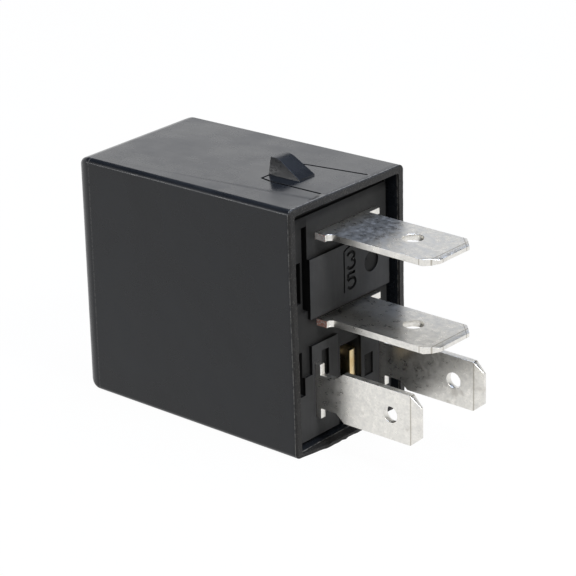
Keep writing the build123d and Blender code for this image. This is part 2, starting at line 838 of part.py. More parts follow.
# Contacts: moving, fixed and rest stop
with BuildPart() as moving_contact:
    add(opened(rounded_pin(
        contact_plane,
        contact_edge_radius,
        (spring_outer_x - contact_back_head, spring_outer_x, contact_back_diameter),
        (spring_outer_x, spring_inner_x, contact_shank_diameter),
        (spring_inner_x, contact_face_x, contact_diameter),
    )))

moving_contact.part.label = "moving_contact"

with BuildPart() as fixed_contact:
    add(rounded_pin(
        contact_plane,
        contact_edge_radius,
        (fixed_contact_face_x, strip_end_x, contact_diameter),
        (strip_end_x, strip_end_x + tab_thickness, contact_shank_diameter),
        (strip_end_x + tab_thickness, strip_end_x + tab_thickness + contact_back_head, contact_back_diameter),
    ))

fixed_contact.part.label = "fixed_contact"

brass_plate_x = stop_plate_x - brass_thickness
brass_end_y = terminal_y - stop_contact_diameter / 2 - brass_thickness
brass_tail_y = spare_wall_y - brass_thickness / 2
brass_lip_x = base_front_x - brass_tail_inset - brass_thickness / 2

with BuildPart() as stop_contact:
    add(rounded_pin(
        contact_plane,
        contact_edge_radius,
        (brass_plate_x, stop_plate_x, contact_shank_diameter),
        (stop_plate_x, stop_face_x, stop_contact_diameter),
    ))

stop_contact.part.label = "stop_contact"

with BuildPart() as stop_strip:
    with BuildSketch(Plane.XY.offset(brass_rise[0])):
        with BuildLine():
            FilletPolyline(
                (brass_lip_x, brass_tail_y - brass_lip_width),
                (brass_lip_x, brass_tail_y),
                (base_back_x, brass_tail_y),
                radius=brass_lip_turn,
            )
            FilletPolyline(
                (base_back_x, brass_tail_y),
                (base_back_x - brass_bend_radius, brass_tail_y),
                (base_back_x - brass_bend_radius - brass_jog_length, brass_side_y),
                (brass_plate_x + brass_thickness / 2, brass_side_y),
                (brass_plate_x + brass_thickness / 2, brass_end_y),
                radius=brass_bend_radius,
            )
        trace(line_width=brass_thickness)
    extrude(amount=brass_tail_rise[1] - brass_rise[0])
    with BuildSketch(side_sketch_plane(cover_width / 2)):
        with Locations((base_back_x - 2 * brass_bend_radius, brass_rise[1])):
            Rectangle(cover_length, cover_height, align=(Align.MAX, Align.MIN))
        with Locations((base_back_x - brass_bend_radius, brass_tail_rise[0])):
            Rectangle(cover_length, cover_height, align=(Align.MIN, Align.MAX))
    extrude(amount=cover_width, mode=Mode.SUBTRACT)
    add(pin(contact_plane, (brass_plate_x, stop_plate_x, contact_shank_diameter + 2 * rivet_fit)),
        mode=Mode.SUBTRACT)

stop_strip.part.label = "stop_strip"


# Resistor between the coil terminals, with a bent lead at each end
resistor_x = base_back_x - resistor_inset
resistor_y = terminal_y - resistor_shift_y
tail_face_y = (coil_tab_y[0] + tab_thickness / 2, coil_tab_y[1] - tab_thickness / 2)
resistor_plane = Plane((resistor_x, 0, resistor_z), x_dir=(1, 0, 0), z_dir=(0, 1, 0))

with BuildPart() as resistor:
    add(rounded_pin(
        resistor_plane,
        resistor_end_radius,
        (resistor_y - resistor_length / 2, resistor_y + resistor_length / 2, resistor_diameter),
    ))

resistor.part.label = "resistor"

with BuildPart() as resistor_leads:
    for side, face_y in zip((-1, 1), tail_face_y):
        start_y = resistor_y + side * resistor_length / 2
        lead_y = face_y - side * lead_diameter / 2
        with BuildLine() as lead_path:
            FilletPolyline(
                (resistor_x, start_y, resistor_z),
                (resistor_x, lead_y, resistor_z),
                (resistor_x, lead_y, resistor_z + lead_rise),
                radius=lead_diameter,
            )
        with BuildSketch(Plane((resistor_x, start_y, resistor_z), z_dir=(0, side, 0))):
            Circle(lead_diameter / 2)
        sweep(path=lead_path.line)

resistor_leads.part.label = "resistor_leads"


# Coil leads: each leaves the winding straight down and lies on its terminal's tail
def coil_lead(side):
    """Make the lead on one side of the coil."""
    start_y = terminal_y + side * (winding_diameter + wire_diameter) / 2
    tail_y = terminal_y + side * (coil_tab_spacing + tab_thickness + wire_diameter) / 2
    wire_x = winding_x[1] - wire_exit_gap / 2
    under_z = coil_z - bobbin_flange_height / 2 - wire_exit_gap
    tail_x = base_back_x - coil_tail_length / 2
    with BuildPart() as lead:
        with BuildLine() as path:
            FilletPolyline(
                (wire_x, start_y, coil_z),
                (wire_x, start_y, under_z),
                (tail_x, tail_y, coil_tab_z + wire_diameter),
                (base_back_x - wire_exit_gap, tail_y, coil_tab_z),
                radius=2 * wire_diameter,
            )
        with BuildSketch(Plane((wire_x, start_y, coil_z), z_dir=(0, 0, -1))):
            Circle(wire_diameter / 2)
        sweep(path=path.line)
    return lead.part


with BuildPart() as coil_lead_start:
    add(coil_lead(-1))

coil_lead_start.part.label = "coil_lead_start"

with BuildPart() as coil_lead_finish:
    add(coil_lead(1))

coil_lead_finish.part.label = "coil_lead_finish"


# Written files, one for each piece
pieces = (
    cover, base, terminal_1, terminal_2, terminal_3, terminal_5, yoke, strip_rivets, spring_rivets,
    core, bobbin, coil_winding, coil_tape, armature, armature_rivets, contact_spring, moving_contact,
    fixed_contact, stop_contact, stop_strip, resistor, resistor_leads, coil_lead_start, coil_lead_finish,
)
os.makedirs("parts", exist_ok=True)
for piece in pieces:
    export_step(piece.part, f"parts/{piece.part.label}.step")
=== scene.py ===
"""Dress the plug-in vehicle relay and set it in a pale studio.

The relay lies on the long side of its cover, with its blades along +X and the latch wedge
on top. Lengths in the size fields are millimetres in the frame of the construction.
"""

import json
import logging
import math
from dataclasses import dataclass, field
from enum import Enum
from typing import Any, Optional, Union

import bmesh
import bpy
from mathutils import Matrix, Vector, noise


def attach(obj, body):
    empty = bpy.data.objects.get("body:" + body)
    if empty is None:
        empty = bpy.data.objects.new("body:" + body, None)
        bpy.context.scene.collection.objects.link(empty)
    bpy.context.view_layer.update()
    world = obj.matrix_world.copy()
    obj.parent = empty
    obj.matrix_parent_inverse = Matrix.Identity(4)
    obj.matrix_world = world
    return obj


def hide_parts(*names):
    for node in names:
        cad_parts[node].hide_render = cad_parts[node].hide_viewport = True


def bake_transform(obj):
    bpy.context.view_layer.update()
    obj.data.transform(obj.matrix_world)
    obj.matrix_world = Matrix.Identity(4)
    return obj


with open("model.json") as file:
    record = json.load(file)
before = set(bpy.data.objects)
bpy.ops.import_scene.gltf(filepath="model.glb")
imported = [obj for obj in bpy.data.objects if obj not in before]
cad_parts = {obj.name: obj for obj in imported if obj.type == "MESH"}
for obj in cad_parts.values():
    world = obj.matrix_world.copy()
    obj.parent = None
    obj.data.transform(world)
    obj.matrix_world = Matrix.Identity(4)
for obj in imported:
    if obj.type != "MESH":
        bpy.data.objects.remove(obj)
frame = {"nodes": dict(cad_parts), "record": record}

LOG = logging.getLogger("relay")
MM = 0.001
JOIN_DISTANCE = 1e-6
FLAT_ANGLE = 0.6
BLUNT_ANGLES = (6.0, 14.0)
SHARP_ANGLE = 32.0
RELAY_BODY = "relay_body"

RIM_LEAN = 0.36
RIM_LEAN_Y = (-8.0, 8.0)
RIM_LEAN_Z = (2.0, 28.0)

Point = tuple[float, float, float]
Colour = tuple[float, float, float]
Line = tuple[tuple[float, float], ...]
Number = Union[float, "Term"]


class Axis(Enum):
    """An axis of the frame, as Blender's nodes name it."""

    X = "X"
    Y = "Y"
    Z = "Z"


# ---------------------------------------------------------------- shader arithmetic


class Term:
    """One value in a material's nodes, with arithmetic written as Python operators."""

    def __init__(self, paint: "Paint", socket: bpy.types.NodeSocket) -> None:
        """Wrap a socket of a material's tree."""
        self.paint = paint
        self.socket = socket

    def _math(self, operation: str, first: Number, second: Number) -> "Term":
        """Add one Math node and return its result."""
        sockets = {0: first, 1: second}
        return self.paint.node("ShaderNodeMath", {"operation": operation}, sockets).out(0)

    def __add__(self, other: Number) -> "Term":
        """Return the sum."""
        return self._math("ADD", self, other)

    __radd__ = __add__

    def __sub__(self, other: Number) -> "Term":
        """Return the difference."""
        return self._math("SUBTRACT", self, other)

    def __rsub__(self, other: Number) -> "Term":
        """Return the difference, the other way round."""
        return self._math("SUBTRACT", other, self)

    def __mul__(self, other: Number) -> "Term":
        """Return the product."""
        return self._math("MULTIPLY", self, other)

    __rmul__ = __mul__

    def highest(self, other: Number) -> "Term":
        """Return the higher of two values."""
        return self._math("MAXIMUM", self, other)

    def line(self, middle: float, half_width: float) -> "Term":
        """Return 1 where the value has one size in millimetres, and 0 away from it.

        Args:
            middle: The size.
            half_width: Distance at which the line has faded away.

        Returns:
            The line.
        """
        low, high = (middle - half_width) * MM, (middle + half_width) * MM
        return self.ramp(low, middle * MM) * (1.0 - self.ramp(middle * MM, high))

    def ramp(self, low: float, high: float, to_low: float = 0.0, to_high: float = 1.0) -> "Term":
        """Stretch a range of the value smoothly onto another range.

        Args:
            low: Value that becomes to_low.
            high: Value that becomes to_high.
            to_low: Result at the low end.
            to_high: Result at the high end.

        Returns:
            The stretched value, held at both ends.
        """
        settings = {"interpolation_type": "SMOOTHSTEP"}
        sockets = {
            "Value": self, "From Min": low, "From Max": high, "To Min": to_low, "To Max": to_high,
        }
        return self.paint.node("ShaderNodeMapRange", settings, sockets).out(0)


class Built:
    """A node that has been added, whose results can be picked."""

    def __init__(self, paint: "Paint", node: bpy.types.Node) -> None:
        """Keep the node and its material."""
        self.paint = paint
        self.node = node

    def out(self, key: Union[int, str]) -> Term:
        """Return one result as a term."""
        return Term(self.paint, self.node.outputs[key])


class Paint:
    """A material under construction."""

    def __init__(self, name: str) -> None:
        """Start an empty material.

        Args:
            name: Name of the material.
        """
        self.material = bpy.data.materials.new(name)
        self.material.use_nodes = True
        self.tree = self.material.node_tree
        self.tree.nodes.clear()
        self.surface = self.node("ShaderNodeBsdfPrincipled", {}, {})
        output = self.node("ShaderNodeOutputMaterial", {}, {"Surface": self.surface.out(0)})
        output.node.location = (400, 0)
        self.place = self.node("ShaderNodeTexCoord", {}, {}).out("Object")

    def node(self, kind: str, settings: dict[str, Any],
             sockets: dict[Union[int, str], Any]) -> Built:
        """Add a node of any type.

        Args:
            kind: Blender's name for the node's type.
            settings: Properties of the node.
            sockets: Values or terms for its inputs.

        Returns:
            The node.
        """
        made = self.tree.nodes.new(kind)
        for name, value in settings.items():
            setattr(made, name, value)
        for key, value in sockets.items():
            if isinstance(value, Term):
                self.tree.links.new(value.socket, made.inputs[key])
            else:
                made.inputs[key].default_value = value
        return Built(self, made)

    def set(self, **values: Any) -> None:
        """Set the surface's own sockets, by their names with underscores for spaces."""
        for name, value in values.items():
            key = name.replace("_", " ")
            if isinstance(value, Term):
                self.tree.links.new(value.socket, self.surface.node.inputs[key])
            else:
                self.surface.node.inputs[key].default_value = value

    def grain(self, size: float, detail: float = 3.0, stretch: Point = (1.0, 1.0, 1.0)) -> Term:
        """Return noise whose features have about this size.

        Args:
            size: Size of one feature in millimetres.
            detail: Finer octaves in it.
            stretch: Scale of the pattern along each axis, below 1 to draw it out.

        Returns:
            A value between 0 and 1.
        """
        mapped = self.node("ShaderNodeMapping", {}, {"Vector": self.place, "Scale": stretch}).out(0)
        sockets = {
            "Vector": mapped, "Scale": 1.0 / (size * MM), "Detail": detail, "Roughness": 0.55,
        }
        return self.node("ShaderNodeTexNoise", {}, sockets).out("Fac")

    def axis(self, axis: Axis) -> Term:
        """Return one coordinate in metres."""
        return self.node("ShaderNodeSeparateXYZ", {}, {"Vector": self.place}).out(axis.value)

    def facing(self, axis: Axis) -> Term:
        """Return one component of the true normal."""
        normal = self.node("ShaderNodeNewGeometry", {}, {}).out("True Normal")
        return self.node("ShaderNodeSeparateXYZ", {}, {"Vector": normal}).out(axis.value)

    def blend(self, amount: Number, first: Any, second: Any) -> Term:
        """Mix two colours.

        Args:
            amount: 0 for the first and 1 for the second.
            first: Colour or term.
            second: Colour or term.

        Returns:
            The mixed colour.
        """
        full = [value if isinstance(value, Term) else (*value, 1.0) for value in (first, second)]
        sockets = {0: amount, 6: full[0], 7: full[1]}
        return self.node("ShaderNodeMix", {"data_type": "RGBA"}, sockets).out(2)

    def bump(self, height: Term, depth: float, under: Optional[Term] = None) -> Term:
        """Return a normal for a relief.

        Args:
            height: Relief between 0 and 1.
            depth: Its full depth in millimetres.
            under: A coarser relief to add it to.

        Returns:
            The normal.
        """
        sockets: dict[Union[int, str], Any] = {
            "Strength": 1.0, "Distance": depth * MM, "Height": height,
        }
        if under is not None:
            sockets["Normal"] = under
        return self.node("ShaderNodeBump", {}, sockets).out(0)


# ---------------------------------------------------------------- finishes


@dataclass(frozen=True)
class CoverPlastic:
    """Satin black nylon of the cover, glossier on top, with a rough rim, a pale speckled burr line
    with a painted highlight along the rim, and a painted highlight line at the closed end.
    """

    name: str = "cover_plastic"
    colour: Colour = (0.0092, 0.0107, 0.0132)
    cloud_colour: Colour = (0.0122, 0.0140, 0.0172)
    rim_colour: Colour = (0.011, 0.0105, 0.0100)
    fleck_colour: Colour = (0.100, 0.094, 0.084)
    # Colour of the burr and painted highlight along the rim, and of the painted highlight line at
    # the closed end.
    burr_and_highlight_colour: Colour = (0.200, 0.192, 0.175)
    rim_start_x: float = 17.17
    burr_and_highlight_reach: tuple[float, float] = (0.16, 0.05)
    # Place of the painted highlight line where the closed end's rounding begins on the near side.
    fillet_highlight_x: float = -14.9
    fillet_highlight_y: tuple[float, float] = (-8.2, -8.6)
    roughness: float = 0.21
    specular: float = 0.33
    top_coat: float = 0.38
    coat_roughness: float = 0.14
    top_z: float = 29.5

    def build(self) -> bpy.types.Material:
        """Return the material."""
        paint = Paint(self.name)
        clouds = paint.grain(7.0, 3.0).ramp(0.30, 0.72)
        smears = paint.grain(1.6, 4.0, (0.35, 1.0, 1.0)).ramp(0.35, 0.75)
        flecks = paint.grain(0.15, 2.0).ramp(0.58, 0.74)
        lean = paint.axis(Axis.Z).ramp(RIM_LEAN_Z[0] * MM, RIM_LEAN_Z[1] * MM)
        lean = lean * paint.axis(Axis.Y).ramp(RIM_LEAN_Y[1] * MM, RIM_LEAN_Y[0] * MM)
        place = paint.axis(Axis.X) + lean * (RIM_LEAN * MM)
        start = self.rim_start_x
        rim = place.ramp((start - 0.02) * MM, (start + 0.02) * MM)
        near, far = self.burr_and_highlight_reach
        # Pale line on the rounding next to the rim: partly a speckled burr, partly a painted
        # highlight of the rounded edge.
        burr_and_highlight = place.ramp((start - near) * MM, (start - far) * MM) * (1.0 - rim)
        # Painted highlight: a light line where the closed end's rounding begins on the near side.
        side = paint.axis(Axis.Y).ramp(self.fillet_highlight_y[0] * MM, self.fillet_highlight_y[1] * MM)
        fillet_highlight = paint.axis(Axis.X).line(self.fillet_highlight_x, 0.14) * side
        burr_and_highlight = burr_and_highlight.highest(fillet_highlight * 0.45) * paint.grain(0.45, 4.0).ramp(0.34, 0.60)
        body = paint.blend(clouds * 0.7, self.colour, self.cloud_colour)
        edge = paint.blend(flecks, self.rim_colour, self.fleck_colour)
        shade = paint.blend(burr_and_highlight, paint.blend(rim, body, edge), self.burr_and_highlight_colour)
        rough = self.roughness + 0.12 * clouds + 0.05 * smears + 0.25 * rim
        skin = paint.bump(paint.grain(0.16, 2.0), 0.004)
        waves = paint.bump(paint.grain(5.0, 1.0), 0.05, skin)
        torn = paint.bump(paint.grain(0.30, 3.0) * rim, 0.06, waves)
        high = paint.axis(Axis.Z).ramp((self.top_z - 0.2) * MM, self.top_z * MM)
        up = paint.facing(Axis.Z).ramp(0.80, 0.97) * high
        paint.set(Base_Color=shade, Roughness=rough, Normal=torn, Specular_IOR_Level=self.specular,
                  Coat_Weight=up * self.top_coat, Coat_Roughness=self.coat_roughness)
        return paint.material


@dataclass(frozen=True)
class BasePlastic:
    """Matt black nylon of the terminal plate, with scuffed raised fields and painted shade in the
    engraving, under the rim and in the left groove.
    """

    name: str = "base_plastic"
    colour: Colour = (0.019, 0.019, 0.0185)
    raised_colour: Colour = (0.050, 0.050, 0.050)
    # Colour of the painted shade in the engraving, under the rim and in the left groove.
    painted_shade_colour: Colour = (0.003, 0.003, 0.003)
    raised_x: float = 16.45
    deep_x: float = 16.16
    # Heights of the painted shadow under the cover's rim, and places of the painted shade in the
    # left groove.
    shade_z: tuple[float, float] = (27.9, 29.0)
    hollow_y: tuple[float, float, float] = (-8.6, -7.2, -6.2)
    hollow_z: float = 17.3
    fade: float = 0.03
    roughness: float = 0.52
    specular: float = 0.20

    def build(self) -> bpy.types.Material:
        """Return the material."""
        paint = Paint(self.name)
        depth = paint.axis(Axis.X)
        raised = depth.ramp((self.raised_x - self.fade) * MM, (self.raised_x + self.fade) * MM)
        # Painted shade: faces set back between deep_x and raised_x, the floors of the engraved
        # marks, take a near-black colour.
        engraving_shade = depth.ramp((self.deep_x - self.fade) * MM, (self.deep_x + self.fade) * MM)
        engraving_shade = engraving_shade * (1.0 - raised)
        scuff = paint.grain(2.2, 4.0).ramp(0.34, 0.70)
        lay = paint.grain(0.5, 2.0, (1.0, 1.0, 0.12)).ramp(0.35, 0.70)
        amount = raised * (0.55 + 0.30 * scuff + 0.15 * lay)
        skin = paint.bump(paint.grain(0.12, 2.0), 0.005)
        across, height = paint.axis(Axis.Y), paint.axis(Axis.Z)
        # Painted shadow: a darker band at the top of the plate, under the cover's rim and over the
        # groove there.
        shaded = height.ramp(self.shade_z[0] * MM, self.shade_z[1] * MM)
        outer, inner, end = self.hollow_y
        # Painted shade in the groove and notch at the left.
        hollow_shade = across.ramp(outer * MM, inner * MM)
        hollow_shade = hollow_shade * (1.0 - across.ramp(end * MM, (end + 0.1) * MM))
        hollow_shade = hollow_shade * height.ramp((self.hollow_z - 0.3) * MM, (self.hollow_z + 0.3) * MM)
        # Mix in the painted shadow and shade.
        painted_shade_face = paint.blend(shaded.highest(hollow_shade) * 0.92, self.colour, self.painted_shade_colour)
        face = paint.blend(amount, painted_shade_face, self.raised_colour)
        paint.set(Base_Color=paint.blend(engraving_shade, face, self.painted_shade_colour),
                  Roughness=self.roughness + 0.1 * scuff,
                  Normal=paint.bump(paint.grain(1.4, 2.0), 0.02, skin),
                  Specular_IOR_Level=self.specular)
        return paint.material


@dataclass(frozen=True)
class TinPlate:
    """Dull bright tin on the blades, with copper showing on the sheared shoulder ends."""

    name: str = "tinned_blade"
    colour: Colour = (0.84, 0.82, 0.77)
    cool_colour: Colour = (0.70, 0.69, 0.66)
    # Colour of stains and wear, and of the painted shade lines at the bevels.
    stain_and_shade_colour: Colour = (0.34, 0.31, 0.26)
    copper_colour: Colour = (0.62, 0.30, 0.22)
    sheared_colour: Colour = (0.78, 0.72, 0.66)
    coil_crease_x: float = 30.5
    load_crease_x: float = 31.7
    load_corner: tuple[float, float] = (34.25, 34.95)
    load_z: tuple[float, float] = (13.9, 14.0)
    roughness: float = 0.25
    copper_x: float = 16.9
    copper_reach: tuple[float, float] = (0.75, 0.70)
    copper_y: float = -4.57
    upper_z: tuple[float, float] = (20.0, 21.0)
    copper_share: tuple[float, float] = (0.46, 0.58)

    def build(self) -> bpy.types.Material:
        """Return the material."""
        paint = Paint(self.name)
        mottle = paint.grain(0.8, 5.0).ramp(0.32, 0.68)
        drawn = paint.grain(0.14, 3.0, (0.10, 1.0, 1.0)).ramp(0.30, 0.72)
        crystals = paint.grain(0.30, 3.0).ramp(0.38, 0.62)
        stains = paint.grain(2.6, 3.0).ramp(0.62, 0.74)
        tin = paint.blend(mottle * 0.6 + crystals * 0.4, self.colour, self.cool_colour)
        tin = paint.blend(stains * 0.35, tin, self.stain_and_shade_colour)
        far, near = self.copper_reach
        root = paint.axis(Axis.X).ramp((self.copper_x + far) * MM, (self.copper_x + near) * MM)
        load = paint.axis(Axis.Z).ramp(self.load_z[0] * MM, self.load_z[1] * MM)
        end = paint.axis(Axis.Y).ramp(self.copper_y * MM, (self.copper_y - 0.02) * MM)
        sheared = end * root * load
        low, high = self.upper_z
        bare = paint.axis(Axis.Z).ramp(low * MM, high * MM, *self.copper_share)
        copper = (paint.grain(0.35, 3.0) - bare).ramp(-0.05, 0.05)
        broken = paint.blend(copper, self.sheared_colour, self.copper_colour)
        pits = paint.grain(0.20, 3.0).ramp(0.58, 0.78)
        scratches = paint.grain(0.12, 2.0, (0.08, 1.0, 1.0)).ramp(0.60, 0.76)
        # Pits and scratches are wear; the lines at the bevels are painted shade.
        wear_and_bevel_shade = (pits * 0.24).highest(scratches * 0.22).highest(self.bevel_shade_lines(paint) * 0.80)
        tin = paint.blend(wear_and_bevel_shade, tin, self.stain_and_shade_colour)
        rough = self.roughness + 0.10 * mottle + 0.05 * drawn + 0.2 * sheared
        hills = paint.bump(paint.grain(1.3, 2.0), 0.006)
        lines = paint.bump(drawn + 0.5 * crystals, 0.0008, hills)
        torn = paint.bump(paint.grain(0.22, 3.0) * sheared, 0.08, lines)
        paint.set(Base_Color=paint.blend(sheared, tin, broken), Roughness=rough,
                  Metallic=1.0 - 0.8 * sheared, Normal=torn)
        return paint.material

    def bevel_shade_lines(self, paint: Paint) -> Term:
        """Return the painted shade lines where the bevels at the blades' tips begin."""
        along, across = paint.axis(Axis.X), paint.axis(Axis.Y)
        load = paint.axis(Axis.Z).ramp(self.load_z[0] * MM, self.load_z[1] * MM)
        near, far = self.load_corner
        flat = along.line(self.load_crease_x, 0.13)
        flat = flat.highest((along - across).line(near, 0.12))
        flat = flat.highest((along + across).line(far, 0.12))
        return flat * load + along.line(self.coil_crease_x, 0.14) * (1.0 - load)


@dataclass(frozen=True)
class RolledMetal:
    """Plain rolled or plated metal inside the relay."""

    name: str
    colour: Colour
    shade: Colour
    roughness: float = 0.28
    grain_size: float = 0.2
    stretch: Point = (0.15, 1.0, 1.0)

    def build(self) -> bpy.types.Material:
        """Return the material."""
        paint = Paint(self.name)
        mottle = paint.grain(1.3, 4.0).ramp(0.32, 0.70)
        drawn = paint.grain(self.grain_size, 3.0, self.stretch).ramp(0.30, 0.72)
        hills = paint.bump(paint.grain(1.6, 2.0), 0.008)
        paint.set(Base_Color=paint.blend(mottle, self.colour, self.shade), Metallic=1.0,
                  Roughness=self.roughness + 0.1 * mottle + 0.08 * drawn,
                  Normal=paint.bump(drawn, 0.003, hills))
        return paint.material


@dataclass(frozen=True)
class MouldedPart:
    """Moulded, lacquered or taped insulation inside the relay."""

    name: str
    colour: Colour
    shade: Colour
    roughness: float = 0.45

    def build(self) -> bpy.types.Material:
        """Return the material."""
        paint = Paint(self.name)
        clouds = paint.grain(2.4, 4.0).ramp(0.32, 0.70)
        skin = paint.bump(paint.grain(0.2, 2.0), 0.006)
        paint.set(Base_Color=paint.blend(clouds, self.colour, self.shade),
                  Roughness=self.roughness + 0.1 * clouds, Normal=skin)
        return paint.material


# ---------------------------------------------------------------- mesh helpers


def smooth_step(value: float, low: float, high: float) -> float:
    """Return 0 below low, 1 above high and an S-shaped rise between."""
    share = min(max((value - low) / (high - low), 0.0), 1.0)
    return share * share * (3.0 - 2.0 * share)


def link(name: str, mesh: bpy.types.Mesh) -> bpy.types.Object:
    """Put a mesh in the scene as an object at the origin."""
    made = bpy.data.objects.new(name, mesh)
    bpy.context.scene.collection.objects.link(made)
    return made


def applied(made: bpy.types.Object) -> None:
    """Turn an object's modifiers into its mesh and remove them."""
    graph = bpy.context.evaluated_depsgraph_get()
    mesh = bpy.data.meshes.new_from_object(made.evaluated_get(graph), depsgraph=graph)
    made.modifiers.clear()
    made.data = mesh


def merged_copy(node: bpy.types.Object, name: str,
                whole_faces: bool = True) -> bpy.types.Object:
    """Copy a node's mesh with its corners joined.

    Args:
        node: Object of the node.
        name: Name of the copy.
        whole_faces: Whether the triangles of a flat face are joined too.

    Returns:
        The copy.
    """
    form = bmesh.new()
    form.from_mesh(node.data)
    bmesh.ops.remove_doubles(form, verts=form.verts, dist=JOIN_DISTANCE)
    if whole_faces:
        flat = math.radians(FLAT_ANGLE)
        bmesh.ops.dissolve_limit(form, angle_limit=flat, verts=form.verts, edges=form.edges)
    mesh = bpy.data.meshes.new(name)
    form.to_mesh(mesh)
    form.free()
    return link(name, mesh)


def softened(made: bpy.types.Object, width: float) -> None:
    """Round an object's sharp edges.

    Args:
        made: Object to change.
        width: Width of the rounding in millimetres.
    """
    bevel = made.modifiers.new("edges", "BEVEL")
    bevel.width = width * MM
    bevel.segments = 2
    bevel.limit_method = "ANGLE"
    bevel.angle_limit = math.radians(SHARP_ANGLE)
    bevel.use_clamp_overlap = True
    bevel.miter_outer = "MITER_ARC"
    applied(made)


def smoothed(made: bpy.types.Object, angle: float = 50.0,
             crease_length: float = 1000.0) -> None:
    """Shade an object smooth, led by its large faces, with creases at its sharp edges.

    Args:
        made: Object to change.
        angle: Smallest angle of a sharp edge in degrees.
        crease_length: Shortest edge in millimetres that is a crease at a blunt angle too.
    """
    made.data.shade_smooth()
    made.data.set_sharp_from_angle(angle=math.radians(angle))
    form = bmesh.new()
    form.from_mesh(made.data)
    low, high = (math.radians(bound) for bound in BLUNT_ANGLES)
    for edge in form.edges:
        blunt = low < edge.calc_face_angle(0.0) < high
        if blunt and edge.calc_length() > crease_length * MM:
            edge.smooth = False
    form.to_mesh(made.data)
    form.free()
    weights = made.modifiers.new("normals", "WEIGHTED_NORMAL")
    weights.mode = "FACE_AREA"
    weights.keep_sharp = True
    applied(made)


def dressed(made: bpy.types.Object, material: bpy.types.Material) -> None:
    """Give an object one material."""
    made.data.materials.clear()
    made.data.materials.append(material)


def sheet(name: str, facets: int, size: float, material: bpy.types.Material) -> bpy.types.Object:
    """Lay a flat square at the origin.

    Args:
        name: Name of the square.
        facets: Facets along each side.
        size: Length of a side in metres.
        material: Its material.

    Returns:
        The square.
    """
    form = bmesh.new()
    bmesh.ops.create_grid(form, x_segments=facets, y_segments=facets, size=size / 2)
    mesh = bpy.data.meshes.new(name)
    form.to_mesh(mesh)
    form.free()
    made = link(name, mesh)
    dressed(made, material)
    return made


def cut_away(made: bpy.types.Object, cutter: bpy.types.Object) -> None:
    """Take a cutter out of an object and delete it."""
    step = made.modifiers.new("cut", "BOOLEAN")
    step.operation, step.solver, step.object = "DIFFERENCE", "MANIFOLD", cutter
    applied(made)
    bpy.data.objects.remove(cutter)


def front_stroke(name: str, points: Line, width: float, front_x: float,
                 depth: float) -> bpy.types.Object:
    """Make a cutter that engraves a line with round ends in a face that looks along +X.

    Args:
        name: Name of the cutter.
        points: Places of the line as y and z in millimetres.
        width: Width of the line.
        front_x: Place of the face.
        depth: Depth of the line.

    Returns:
        The cutter.
    """
    curve = bpy.data.curves.new(name, "CURVE")
    curve.dimensions = "3D"
    curve.resolution_u = 6
    curve.bevel_depth = width / 2 * MM
    curve.bevel_resolution = 3
    curve.use_fill_caps = True
    spline = curve.splines.new("NURBS")
    spline.points.add(len(points) - 1)
    for point, (y, z) in zip(spline.points, points):
        point.co = ((front_x + width / 2 - depth) * MM, y * MM, z * MM, 1.0)
    spline.order_u = 3
    spline.use_endpoint_u = True
    flat = bpy.data.objects.new(name, curve)
    bpy.context.scene.collection.objects.link(flat)
    graph = bpy.context.evaluated_depsgraph_get()
    mesh = bpy.data.meshes.new_from_object(flat.evaluated_get(graph), depsgraph=graph)
    bpy.data.objects.remove(flat)
    form = bmesh.new()
    form.from_mesh(mesh)
    bmesh.ops.remove_doubles(form, verts=form.verts, dist=JOIN_DISTANCE)
    bmesh.ops.recalc_face_normals(form, faces=form.faces)
    form.to_mesh(mesh)
    form.free()
    return link(name, mesh)


